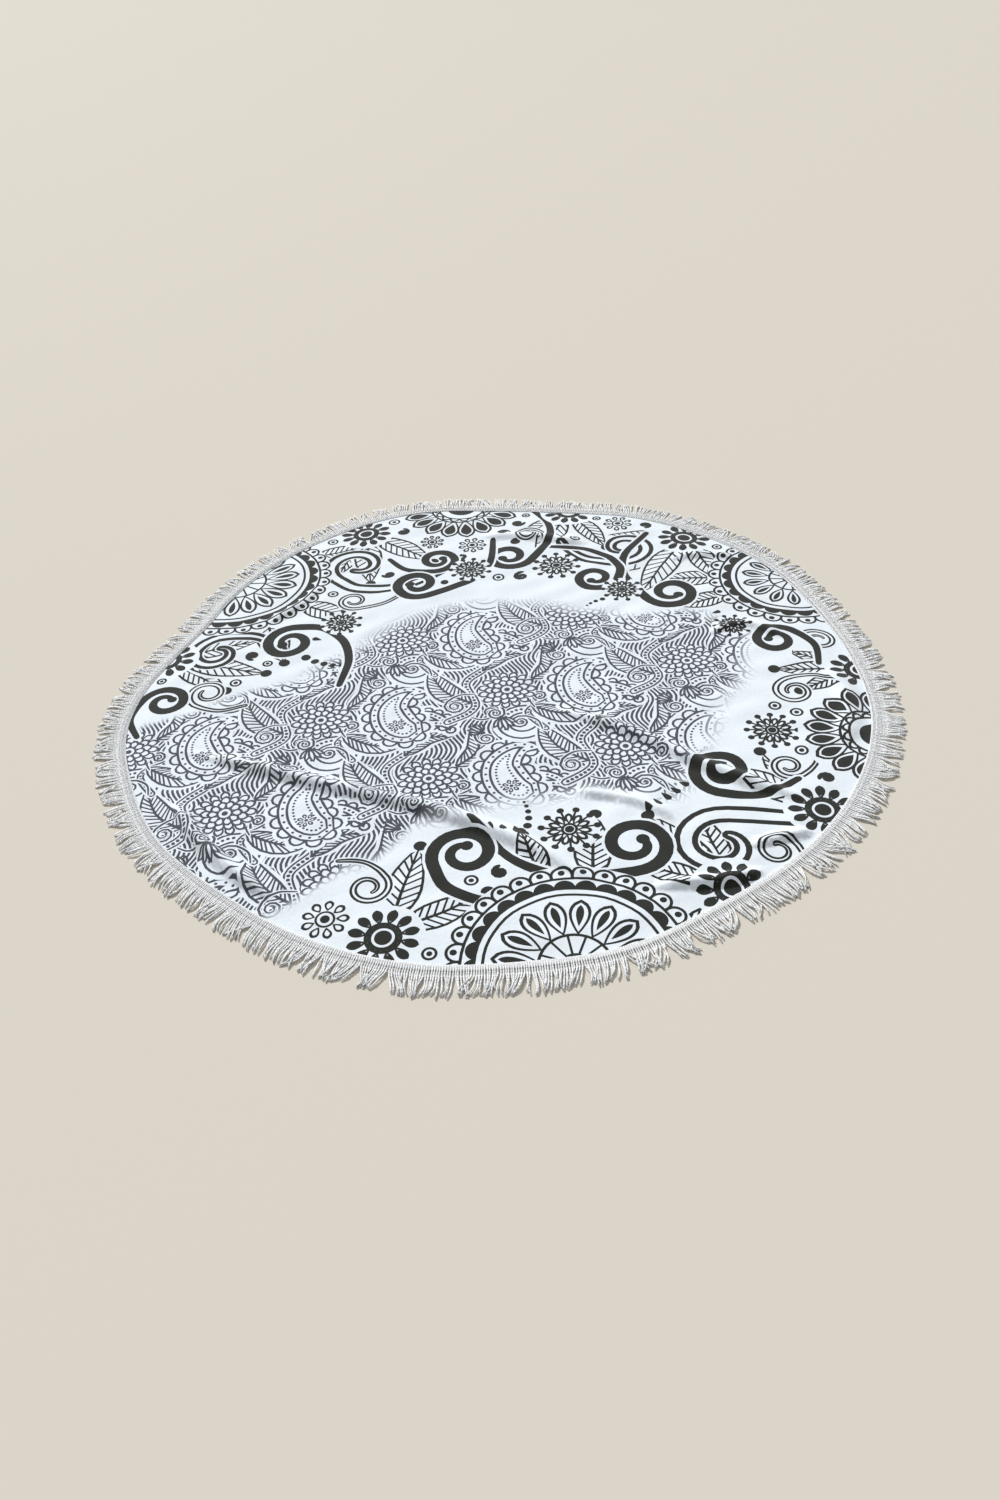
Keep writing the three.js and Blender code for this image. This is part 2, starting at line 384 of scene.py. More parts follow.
def layPaisley(tone, place, knots, width, line, petals):
    # teardrop with a petal rim, a beaded band, a dotted lining and a small flower at its round end
    spine = smoothLine(knots, 7)
    length = lineLength(spine)

    def drop(inset):
        start, end = 0.8 * inset / length, 1 - 2.6 * inset / length
        return leafOutline(spine, width - 2 * inset, 0.55, 0.75, start, end, 18)

    def spreadDots(dotTone, radius, outline, count, corners):
        loop = outline + outline[:1]
        for k in range(count):
            layDot(dotTone, radius, *walkLine(loop, (k + 0.5) / count)[0], place, corners)

    outer = drop(0)
    size = lineLength(outer + outer[:1]) / petals * 0.52
    for dotTone, radius in (("cloth", size + 1.5 * line), (tone, size), ("cloth", size - line)):
        spreadDots(dotTone, radius, outer, petals, 10)
    band = max(3.2 * line, width * 0.11)
    lay(tone, outer, place)
    lay("cloth", drop(line), place)
    spreadDots(tone, band * 0.2, drop((band + line) / 2), int(petals * 1.5), 6)
    lay(tone, drop(band), place)
    lay("cloth", drop(band + line), place)
    spreadDots(tone, line * 0.55, drop(band + 2.8 * line), 2 * petals, 6)
    spot, (dx, dy) = walkLine(spine, 0.26)
    here = (*placePoints([spot], place)[0], place[2] + math.atan2(dy, dx) + math.pi)
    room = width / 2 - band - 3.2 * line
    layPetalRing(tone, here, 7, room * 0.30, room * 0.95, room * 0.62, line * 0.62, 0.2)
    layDot(tone, room * 0.26, 0, 0, here, 10)


def layFan(tone, place, radius, line):
    # half flower standing in a beaded arch
    beads, petals = 15, 7
    lay("cloth", roundOutline(radius + 2 * line, count=20), place)
    layRing(tone, radius, line, place, 22)
    arch = radius - 2.6 * line
    for k in range(beads):
        a = math.radians(-10 + 200 * k / (beads - 1))
        layDot(tone, line * 0.75, arch * math.cos(a), arch * math.sin(a), place, 6)
    layRing(tone, radius - 4.3 * line, line, place, 20)
    inner = radius - 6.0 * line
    for k in range(petals):
        a = math.radians(-6 + 192 * k / (petals - 1))
        layPetal(tone, place, inner * 0.22, inner * 0.76, inner * 0.30, a, line * 0.85)
    layRing(tone, inner * 0.30, line * 0.9, place, 14)
    layDot(tone, inner * 0.12, 0, 0, place, 8)


def layBud(tone, place, size, line):
    for turn in (0.75, -0.75, 0.38, -0.38, 0.0):
        length = size * (1.0 - 0.25 * abs(turn))
        layPetal(tone, place, size * 0.05, length, size * 0.36, math.pi / 2 + turn, line, 0.9, 0.8)
    layDot(tone, size * 0.12, 0, 0, place, 8)


def layDrop(tone, place, length, width):
    lay(tone, leafOutline([(0, 0), (length, 0)], width, 0.5, 0.8, count=7), place)


# Where the motifs go

printLook = {
    "greyLine": 0.0047,
    "blackLine": 0.0050,
    "ballRadius": 0.0115,
    "panelMiddle": (-0.05, 0.0),
    "panelFade": 0.065,
    "cellStart": (0.02, -0.02),
    "cellAlong": (0.352, 0.050),
    "cellAcross": (0.150, 0.240),
    "cellReach": (4, 3),            # repeats to each side, along and across
    "cellOverrun": 0.03,            # how far motifs run past the panel's edge
    "waveField": (0.70, 0.56),      # half sizes
    "waveStep": 0.0105,
    "wavePitch": 0.0088,
    "waveDepth": 0.010,
    "waveLength": 0.105,
    "waveOverrun": 0.02,
}

# direction in degrees and reach of the grey panel; it runs off the cloth on the left
panelReach = [
    (0, 0.56), (12, 0.60), (21, 0.55), (34, 0.40), (49, 0.35), (79, 0.32), (109, 0.31), (144, 0.30),
    (168, 0.36), (180, 0.52), (187, 0.72), (236, 0.72), (247, 0.53), (256, 0.41), (278, 0.37), (301, 0.40),
    (315, 0.52), (330, 0.50), (345, 0.50), (360, 0.56),
]


def panelDepth(x, y):
    # distance inside the panel's edge, below zero outside it
    dx, dy = x - printLook["panelMiddle"][0], y - printLook["panelMiddle"][1]
    heading = np.degrees(np.arctan2(dy, dx)) % 360
    turns, reaches = np.array(panelReach).T
    k = np.clip(np.searchsorted(turns, heading, side="right") - 1, 0, len(turns) - 2)
    share = smoothStep((heading - turns[k]) / (turns[k + 1] - turns[k]))
    return reaches[k] + (reaches[k + 1] - reaches[k]) * share - np.hypot(dx, dy)


panelCell = {
    # width, pitch of the beads, knots
    "ribbons": [
        (0.018, 0.009,
         [(-0.115, -0.085), (-0.062, -0.045), (-0.078, 0.03), (-0.035, 0.085), (-0.060, 0.150)]),
        (0.014, 0.008,
         [(0.065, -0.125), (0.035, -0.07), (0.085, -0.03), (0.075, 0.03), (0.105, 0.075)]),
    ],
    # knots, width, ribs
    "leaves": [
        ([(-0.066, -0.035), (-0.120, 0.01), (-0.150, 0.085)], 0.056, 11),
        ([(0.045, 0.025), (0.090, 0.070), (0.080, 0.150)], 0.050, 11),
        ([(0.04, -0.05), (0.11, -0.090), (0.180, -0.070)], 0.050, 12),
        ([(-0.045, 0.065), (-0.005, 0.110), (0.050, 0.115)], 0.040, 9),
    ],
    # place, width, petals, knots
    "paisleys": [
        ((0.138, -0.008, 0.0), 0.088, 17,
         [(0.055, -0.052), (0.008, -0.030), (-0.008, 0.030), (0.028, 0.076), (0.072, 0.066)]),
        ((-0.002, 0.150, 0.0), 0.050, 12,
         [(-0.040, 0.005), (-0.010, 0.020), (0.030, 0.005), (0.042, -0.022)]),
    ],
    "fan": ((0.175, 0.140, 0.3), 0.050),
    # place, radius, hand
    "curls": [
        ((-0.078, 0.118, 0.6), 0.021, 1), ((0.020, -0.100, 2.6), 0.020, 1),
        ((-0.100, -0.040, 3.9), 0.022, 1), ((0.238, 0.085, 2.2), 0.019, -1),
        ((0.105, 0.100, 5.0), 0.018, 1), ((0.060, -0.025, 1.2), 0.015, -1),
        ((-0.025, -0.070, 5.2), 0.018, -1), ((0.115, 0.175, 0.3), 0.016, 1),
    ],
    "curlTurns": 1.7,
    "curlWidth": 0.0046,
    "dahlia": 0.058,
    "buds": [((-0.015, -0.082, 3.4), 0.040), ((0.100, 0.118, 0.9), 0.034)],
    "drops": 5,
}


def layPanelCell():
    # one repeat of the grey pattern
    look, thin, home = panelCell, printLook["greyLine"], (0.0, 0.0, 0.0)
    for width, pitch, knots in look["ribbons"]:
        layBeadedRibbon("grey", home, knots, width, thin * 0.8, pitch)
    for knots, width, ribs in look["leaves"]:
        layRibbedLeaf("grey", home, knots, width, thin, ribs)
    for place, width, petals, knots in look["paisleys"]:
        layPaisley("grey", place, knots, width, thin, petals)
    layFan("grey", *look["fan"], thin)
    for place, radius, hand in look["curls"]:
        layCurl("grey", place, radius, look["curlTurns"], look["curlWidth"], "short", hand, detail=9)
    layDahlia("grey", home, look["dahlia"], thin)
    for place, size in look["buds"]:
        layBud("grey", place, size, thin)
    for k in range(look["drops"]):
        layDrop("grey", (-0.045 + 0.012 * k, 0.100 + 0.004 * k, 1.3 - 0.15 * k), 0.016 - 0.0015 * k, 0.008)


def layWaves():
    # fine wavy lines that fill the panel between its motifs
    halfWide, halfHigh = printLook["waveField"]
    pitch, overrun = printLook["wavePitch"], printLook["waveOverrun"]
    y = np.arange(-halfHigh, halfHigh, printLook["waveStep"])
    wave = printLook["waveDepth"] * np.sin(tau * y / printLook["waveLength"])
    for k in range(int(2 * halfWide / pitch) + 1):
        x = printLook["panelMiddle"][0] - halfWide + k * pitch + wave
        run = []
        for px, py, depth in zip(x.tolist(), y.tolist(), panelDepth(x, y).tolist()):
            if depth > -overrun:
                run.append((px, py))
            if depth <= -overrun or py >= y[-1]:
                if len(run) > 2:
                    lay("grey", bandOutline(run, printLook["greyLine"], 0))
                run = []


def layPanel():
    layWaves()
    first = len(printShapes)
    layPanelCell()
    cell = printShapes[first:]
    del printShapes[first:]
    (x0, y0), (ax, ay), (bx, by) = (printLook[name] for name in ("cellStart", "cellAlong", "cellAcross"))
    columns, rows = printLook["cellReach"]
    for j in range(-rows, rows + 1):
        for i in range(-columns, columns + 1):
            shift = (x0 + i * ax + j * bx, y0 + i * ay + j * by, 0.0)
            for tone, points in cell:
                middle = np.mean(points, axis=0) + shift[:2]
                if panelDepth(*middle) > -printLook["cellOverrun"]:
                    lay(tone, points, shift)


def rimPlace(deg, reach, turn=0.0):
    # a place given by its direction and reach from the middle; local X points outwards before the turn
    a = math.radians(deg)
    return (reach * math.cos(a), reach * math.sin(a), a + math.radians(turn))


wheelLook = {
    # an inset is how far in from the wheel's radius that ring lies
    "clear": 0.008,
    "scallopPitch": 0.036,
    "scallopInset": 0.012,
    "beadInset": 0.006,
    "outerInset": 0.016,
    "archPitch": 0.040,
    "archSize": 0.0175,
    "archInset": 0.040,
    "bandInset": 0.042,
    "innerInset": 0.050,
    "flowerInset": 0.060,
    "spokes": 12,
}


def layDotRing(tone, radius, reach, count, place, corners):
    for spot in roundOutline(reach, count=count):
        layDot(tone, radius, *spot, place, corners)


def layWheel(deg, reach, radius, petals):
    # round medallion, half of it cut off by the edge of the cloth
    place, line, look = rimPlace(deg, reach), printLook["blackLine"], wheelLook
    lay("cloth", roundOutline(radius + look["clear"], count=40), place)
    scallops = int(tau * radius / look["scallopPitch"])
    outer = radius - look["scallopInset"]
    lobe = tau * outer / scallops * 0.57
    layDotRing("black", lobe, outer, scallops, place, 20)
    layDotRing("cloth", lobe - line, outer, scallops, place, 20)
    layDotRing("black", lobe * 0.3, radius - look["beadInset"], scallops, place, 12)
    layRing("black", radius - look["outerInset"], line, place, 56)
    arches = int(tau * radius / look["archPitch"])
    layDotRing("black", look["archSize"], radius - look["archInset"], arches, place, 24)
    lay("cloth", roundOutline(radius - look["bandInset"], count=56), place)
    layRing("black", radius - look["innerInset"], line, place, 56)
    inner = radius - look["flowerInset"]
    layPetalRing("black", place, petals, inner * 0.42, inner * 0.56, inner * 0.27, line, 0.1, 0.36)
    layRing("black", inner * 0.44, line, place, 36)
    for tip in roundOutline(inner * 0.42, count=look["spokes"]):
        lay("black", bandOutline([(0, 0), tip], line * 0.8, 0), place)
    layDot("black", inner * 0.16, 0, 0, place, 18)


def laySunflower(deg, reach, radius, petals):
    place, line = rimPlace(deg, reach), printLook["blackLine"]
    lay("cloth", roundOutline(radius + wheelLook["clear"], count=40), place)
    layPetalRing("black", place, petals, radius * 0.45, radius * 0.55, radius * 0.30, line, 0.0, 0.6)
    layRing("black", radius * 0.52, line, place, 36)
    for spot in roundOutline(radius * 0.40):
        layDot("black", radius * 0.085, *spot, place, 12)
        layDot("cloth", radius * 0.085 - line, *spot, place, 12)
    layRing("black", radius * 0.40, line, place, 32)
    layDot("black", radius * 0.24, 0, 0, place, 30)


def layLeafCrown(deg, reach, start, leaves):
    # leaves that stand out from a common point: turn, length, width and sideways bend of each
    line, ball = printLook["blackLine"], printLook["ballRadius"]
    for turn, length, width, bend in leaves:
        spine = [(start, 0), (start + length * 0.5, bend * 0.6), (start + length, bend)]
        layRibbedLeaf("black", rimPlace(deg, reach, 180 + turn), spine, width, line, 8, ball)


def layDropArc(deg, reach, turn, count, length, spread):
    for k in range(count):
        off = k - (count - 1) / 2
        place = rimPlace(deg + spread * off, reach, turn + 6 * off)
        layDrop("black", place, length * (1 - 0.08 * abs(off)), length * 0.5)


def layBeadString(deg, reach, turn, count, largest):
    # beads that shrink along a bow
    x, y, heading = rimPlace(deg, reach, turn)
    for k in range(count):
        size = largest * (1 - 0.8 * k / count)
        layDot("black", size, x, y, count=10)
        x += 2.5 * size * math.cos(heading)
        y += 2.5 * size * math.sin(heading)
        heading += 0.16


leafCrowns = [
    # deg, reach, start, then turn, length, width and bend of each leaf
    (277, 0.700, 0.170, [
        (-78, 0.135, 0.062, -0.02), (-50, 0.165, 0.070, -0.02), (-22, 0.150, 0.064, 0.02),
        (4, 0.120, 0.052, 0.01),
    ]),
    (252, 0.650, 0.030, [
        (-40, 0.150, 0.056, -0.02), (-4, 0.170, 0.064, 0.02),
    ]),
    (301, 0.665, 0.030, [
        (-30, 0.150, 0.054, 0.02), (6, 0.175, 0.062, -0.02), (40, 0.140, 0.052, -0.02),
    ]),
    (322, 0.665, 0.020, [
        (-34, 0.150, 0.054, 0.02), (2, 0.175, 0.060, -0.02),
    ]),
    (357, 0.690, 0.020, [
        (-36, 0.120, 0.046, 0.02), (0, 0.140, 0.050, -0.01), (34, 0.115, 0.044, -0.02),
    ]),
    (25, 0.700, 0.145, [
        (-62, 0.110, 0.050, 0.01), (-34, 0.130, 0.058, 0.01), (-6, 0.120, 0.054, -0.01),
    ]),
    (48, 0.660, 0.030, [
        (-52, 0.150, 0.056, -0.02), (-18, 0.200, 0.066, 0.02), (16, 0.215, 0.070, -0.02),
        (50, 0.160, 0.058, 0.02),
    ]),
    (73, 0.680, 0.030, [
        (-36, 0.150, 0.052, 0.02), (-2, 0.190, 0.062, -0.02), (32, 0.155, 0.054, 0.02),
    ]),
    (114, 0.670, 0.030, [
        (-48, 0.150, 0.054, 0.02), (-14, 0.185, 0.064, -0.02), (18, 0.180, 0.062, 0.02),
    ]),
    (141, 0.700, 0.175, [
        (-52, 0.140, 0.062, 0.02), (-26, 0.165, 0.070, -0.02), (2, 0.145, 0.062, 0.01),
        (66, 0.130, 0.060, -0.02),
    ]),
    (166, 0.680, 0.030, [
        (-34, 0.150, 0.054, 0.02), (0, 0.190, 0.062, -0.02), (34, 0.160, 0.056, -0.02),
    ]),
]

# deg, reach, radius, petals
wheels = [(277, 0.700, 0.190, 16), (25, 0.700, 0.165, 14), (141, 0.700, 0.195, 18)]
sunflowers = [(341, 0.705, 0.130, 18), (94, 0.705, 0.140, 18)]

# deg, reach, turn, radius, width, hand, tail; the great and open curls are outlines, the bold ones solid
greatCurls = [
    (306, 0.585, 215, 0.074, 0.040, 1, "long"),
    (121, 0.555, 20, 0.068, 0.036, -1, "hook"),
    (57, 0.560, 290, 0.062, 0.034, 1, "short"),
    (163, 0.585, 20, 0.058, 0.032, 1, "short"),
]

boldCurls = [
    (294, 0.500, 60, 0.063, 0.023, 1, "long"),
    (261, 0.455, 215, 0.058, 0.022, -1, "hook"),
    (322, 0.480, 200, 0.056, 0.022, -1, "short"),
    (8, 0.560, 120, 0.047, 0.019, 1, "short"),
    (36, 0.470, 250, 0.056, 0.022, 1, "long"),
    (57, 0.420, 205, 0.049, 0.020, -1, "hook"),
    (84, 0.470, 160, 0.052, 0.021, -1, "long"),
    (103, 0.485, 250, 0.047, 0.019, 1, "short"),
    (112, 0.410, 100, 0.054, 0.022, -1, "long"),
    (155, 0.455, 10, 0.056, 0.022, 1, "hook"),
    (178, 0.640, 250, 0.047, 0.019, -1, "short"),
]

openCurls = [
    (246, 0.560, 60, 0.036, 0.013, -1, "short"),
    (311, 0.655, 150, 0.036, 0.013, 1, "short"),
    (329, 0.575, 250, 0.032, 0.013, -1, "short"),
    (351, 0.560, 200, 0.040, 0.014, 1, "short"),
    (6, 0.640, 20, 0.034, 0.013, -1, "short"),
    (80, 0.560, 20, 0.032, 0.013, 1, "short"),
    (131, 0.440, 70, 0.034, 0.013, -1, "long"),
    (176, 0.560, 330, 0.040, 0.014, -1, "short"),
]

daisies = [
    # deg, reach, radius, petals
    (284, 0.425, 0.040, 11), (338, 0.525, 0.038, 12), (47, 0.410, 0.034, 10), (70, 0.440, 0.040, 11),
    (95, 0.425, 0.036, 11), (141, 0.400, 0.034, 10), (16, 0.500, 0.030, 10),
]

dropArcs = [
    # deg, reach, turn, count, length, spread
    (266, 0.415, 180, 5, 0.026, 3.2), (25, 0.505, 180, 5, 0.022, 2.8), (148, 0.420, 180, 5, 0.024, 3.2),
    (308, 0.455, 180, 5, 0.024, 3.0),
]

beadStrings = [
    # deg, reach, turn, count, largest
    (272, 0.440, 150, 7, 0.0100), (42, 0.400, 130, 7, 0.0095), (104, 0.390, 100, 6, 0.0090),
    (160, 0.400, 160, 7, 0.0100),
]

gapLook = {
    "pitch": 0.003,
    "rimClear": 0.006,
    "panelClear": 0.050,
    "blackClear": 0.007,
    "largest": 0.040,
    "flowerFrom": 0.026,        # size from which the filler is a flower, then a curl, then a ring
    "curlFrom": 0.019,
    "ringFrom": 0.013,
    "turnEach": 137.5,
}


def fillGaps():
    # small motifs where the border is still bare, the roomiest spots first
    grid = staggeredGrid(gapLook["pitch"])
    room = np.minimum(inwardAt(grid) - gapLook["rimClear"], -panelDepth(*grid.T) - gapLook["panelClear"])
    grid, room = grid[room > 0], room[room > 0]
    black = paintFaces(grid)[0] == toneNumber["black"]
    tree = KDTree(int(black.sum()))
    for k, (x, y) in enumerate(grid[black].tolist()):
        tree.insert((x, y, 0.0), k)
    tree.balance()
    grid, room = grid[~black][::2], room[~black][::2]
    near = np.array([tree.find((x, y, 0.0))[2] for x, y in grid.tolist()])
    room = np.minimum(room, near - gapLook["blackClear"])
    line, placed = printLook["blackLine"], 0
    while room.max() > gapLook["ringFrom"]:
        best = int(room.argmax())
        size = min(float(room[best]), gapLook["largest"])
        place = (*grid[best].tolist(), math.radians(gapLook["turnEach"] * placed))
        if size > gapLook["flowerFrom"]:
            layPetalRing("black", place, 9, size * 0.42, size * 0.58, size * 0.40, line * 0.8)
            layRing("black", size * 0.42, line * 0.8, place, 20)
            layDot("black", size * 0.2, 0, 0, place)
        elif size > gapLook["curlFrom"]:
            layCurl("black", place, size * 0.62, 1.2, 0.010, "none", (-1) ** placed)
        else:
            layRing("black", size * 0.75, line * 0.9, place, 16)
            layDot("black", size * 0.28, 0, 0, place)
        room = np.minimum(room, np.hypot(*(grid - place[:2]).T) - size - gapLook["blackClear"])
        placed += 1
    print("gaps filled:", placed)


def layBorder():
    line = printLook["blackLine"]
    for row in beadStrings:
        layBeadString(*row)
    for row in dropArcs:
        layDropArc(*row)
    for row in leafCrowns:
        layLeafCrown(*row)
    for rows, turns, border in ((openCurls, 1.25, line * 0.9), (greatCurls, 0.95, 2 * line)):
        for deg, reach, turn, radius, width, hand, tail in rows:
            layOutlinedCurl("black", rimPlace(deg, reach, turn), radius, turns, width, border, tail, hand)
    for deg, reach, turn, radius, width, hand, tail in boldCurls:
        place = rimPlace(deg, reach, turn)
        layCurl("black", place, radius, 1.35, width, tail, hand, ball=0.5, inner=0.30, detail=26)
    for deg, reach, radius, petals in daisies:
        layDaisy("black", rimPlace(deg, reach), radius, line, petals)
    for row in sunflowers:
        laySunflower(*row)
    for row in wheels:
        layWheel(*row)
    for deg, reach, start, _ in leafCrowns:
        # a crown that starts near its middle has a small flower there
        if start < 0.1:
            laySunflower(deg, reach, 0.058, 12)
    fillGaps()


# Cloth: one closed sheet, its top cut along the edges of the print, so each face is white, grey or black

toneNumber = {"cloth": 0, "grey": 1, "black": 2}


def rimLoop(inset):
    turns = tau * np.arange(clothLook["rimSteps"]) / clothLook["rimSteps"]
    reach = edgeAt(turns) - inset
    return np.stack([reach * np.cos(turns), reach * np.sin(turns)], 1).tolist()


def paintFaces(middles):
    # tone of each face and the number of the shape that gives it: the last one laid over the face's middle;
    # the print stops just short of the edge
    order = np.argsort(middles[:, 0])
    x, y = middles[order].T
    tone = np.zeros(len(middles), int)
    owner = np.full(len(middles), -1)
    for n, (name, outline) in enumerate(printShapes):
        loop = np.array(outline)
        lo, hi = loop.min(0), loop.max(0)
        first, last = np.searchsorted(x, (lo[0], hi[0]))
        near = first + np.where((y[first:last] >= lo[1]) & (y[first:last] <= hi[1]))[0]
        ax, ay = loop.T
        bx, by = np.roll(loop, -1, 0).T
        px, py = x[near, None], y[near, None]
        side = (bx - ax) * (py - ay) - (px - ax) * (by - ay)
        up, down = (ay <= py) & (by > py) & (side > 0), (ay > py) & (by <= py) & (side < 0)
        covered = near[up.sum(1) != down.sum(1)]
        tone[covered] = toneNumber[name]
        owner[covered] = n
    tone[inwardAt(middles[order]) < clothLook["bareEdge"]] = 0
    back = np.argsort(order)
    return tone[back], owner[back]


def cross(a, b):
    return a[:, 0] * b[:, 1] - a[:, 1] * b[:, 0]


def sidesOf(faces):
    return np.concatenate([faces[:, [0, 1]], faces[:, [1, 2]], faces[:, [2, 0]]])


def outlineArea(outline):
    x, y = np.array(outline).T
    return abs(float(x @ np.roll(y, -1) - y @ np.roll(x, -1))) / 2


def joinedFaces(faces, chosen):
    # groups of the chosen faces that touch along an edge
    beside = {}
    for f in chosen:
        a, b, c = faces[f].tolist()
        for pair in ((a, b), (b, c), (c, a)):
            beside.setdefault((min(pair), max(pair)), []).append(f)
    linked = {f: set() for f in chosen}
    for pair in beside.values():
        for f in pair:
            linked[f].update(pair)
    groups, seen = [], set()
    for start in chosen:
        if start in seen:
            continue
        seen.add(start)
        group = [start]
        for f in group:
            fresh = linked[f] - seen
            seen |= fresh
            group += fresh
        groups.append(group)
    return groups


def dropCrumbs(spots, faces, tones, owners):
    # small black remains of a shape that lies mostly under others turn white
    corners = spots[faces]
    areas = 0.5 * np.abs(cross(corners[:, 1] - corners[:, 0], corners[:, 2] - corners[:, 0]))
    groups = joinedFaces(faces, np.where(tones == toneNumber["black"])[0].tolist())
    dropped = 0
    for group in groups:
        size = areas[group].sum()
        whole = sum(outlineArea(printShapes[n][1]) for n in set(owners[group].tolist()))
        if size < clothLook["crumbSize"] and size < clothLook["crumbShare"] * whole:
            tones[group] = 0
            dropped += 1
    print("crumbs dropped:", dropped)
    return tones


def triangulate(points, edges, insideOnly=False):
    # points on a grid of whole steps keep the triangulation exact and quick; the result is in metres
    step = clothLook["snap"]
    steps = np.round(np.asarray(points) / step)
    corners = [Vector(p) for p in steps.tolist()]
    spots, _, faces, *_ = delaunay_2d_cdt(corners, edges, [], int(insideOnly), 0.05, False)
    return np.array([tuple(p) for p in spots]) * step, np.array(faces)


def loopEdges(first, count):
    return [(first + k, first + (k + 1) % count) for k in range(count)]


def toneEdges(faces, tones):
    # edges with another tone on their other side
    pairs = np.sort(sidesOf(faces), axis=1)
    sides = np.tile(tones, 3)
    order = np.lexsort((pairs[:, 1], pairs[:, 0]))
    pairs, sides = pairs[order], sides[order]
    same = (pairs[1:] == pairs[:-1]).all(1)
    return pairs[1:][same & (sides[1:] != sides[:-1])]


def snapEdges(spots, edges):
    # points back on the grid of whole steps, without the edges that vanish there
    snapped, index = np.unique(np.round(spots / clothLook["snap"]), axis=0, return_inverse=True)
    edges = index.ravel()[edges]
    return snapped * clothLook["snap"], edges[edges[:, 0] != edges[:, 1]]


def straightenEdges(spots, edges):
    # points that only a hidden shape left on a nearly straight edge are taken out
    for _ in range(4):
        edges = np.unique(np.sort(edges, axis=1), axis=0)
        ends = np.concatenate([edges, edges[:, ::-1]])
        ends = ends[np.argsort(ends[:, 0], kind="stable")]
        degree = np.bincount(ends[:, 0], minlength=len(spots))
        first = np.cumsum(degree) - degree
        middle = np.where(degree == 2)[0]
        a, b = ends[first[middle], 1], ends[first[middle] + 1, 1]
        chord, arm = spots[b] - spots[a], spots[middle] - spots[a]
        bulge = np.abs(cross(chord, arm)) / np.maximum(np.hypot(*chord.T), 1e-9)
        spare = np.zeros(len(spots), bool)
        spare[middle[bulge < clothLook["straighten"]]] = True
        taken = spare[middle] & ~(spare[a] & (a < middle)) & ~(spare[b] & (b < middle))
        gone = np.zeros(len(spots), bool)
        gone[middle[taken]] = True
        edges = np.concatenate([edges[~gone[edges].any(1)], np.column_stack([a[taken], b[taken]])])
    used, edges = np.unique(edges, return_inverse=True)
    return spots[used], edges.reshape(-1, 2)


def spacedGrid(pitch, taken, onFolds):
    # grid inside the rim, on the folds or beside them, away from points that are there already
    margin = pitch * 0.4
    grid = staggeredGrid(pitch)
    grid = grid[(liftAt(grid) > 0) == onFolds]
    grid = grid[inwardAt(grid) > margin]
    cells = set(map(tuple, np.floor(taken / margin).astype(int).tolist()))
    return [p for p in grid.tolist() if (math.floor(p[0] / margin), math.floor(p[1] / margin)) not in cells]


def turnUp(faces, spots):
    # corners run counter-clockwise, so each face looks up
    a, b, c = (spots[faces[:, k]] for k in range(3))
    return np.where(cross(b - a, c - a)[:, None] < 0, faces[:, ::-1], faces)


def heightAt(points):
    # underside of the cloth; the unevenness dies out towards the edge, which lies flat
    return liftAt(points) + rippleAt(points) * smoothStep(inwardAt(points) / clothLook["rippleFade"])


def slopeNormals(points):
    step = 0.0015
    slopes = [(heightAt(points + shift) - heightAt(points - shift)) / (2 * step)
              for shift in (np.array([step, 0.0]), np.array([0.0, step]))]
    normals = np.stack([-slopes[0], -slopes[1], np.ones(len(points))], 1)
    return normals / np.linalg.norm(normals, axis=1)[:, None]


def newPiece(name, points, faces, material):
    mesh = bpy.data.meshes.new(name)
    mesh.from_pydata(points, [], faces)
    mesh.polygons.foreach_set("use_smooth", np.ones(len(mesh.polygons), bool))
    mesh.materials.append(material)
    piece = bpy.data.objects.new(name, mesh)
    bpy.context.collection.objects.link(piece)
    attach(piece, "root")
    return piece


def addUv(piece, name, corners):
    layer = piece.data.uv_layers.new(name=name)
    layer.data.foreach_set("uv", np.asarray(corners, float).ravel())


def yarnPiece(name, points, faces, material, bake, yarn):
    # piece of twisted cotton: one map to bake on, and one that the yarn follows
    piece = newPiece(name, points, faces, material)
    addUv(piece, "OFBake", bake)
    addUv(piece, "yarn", yarn)
    return piece


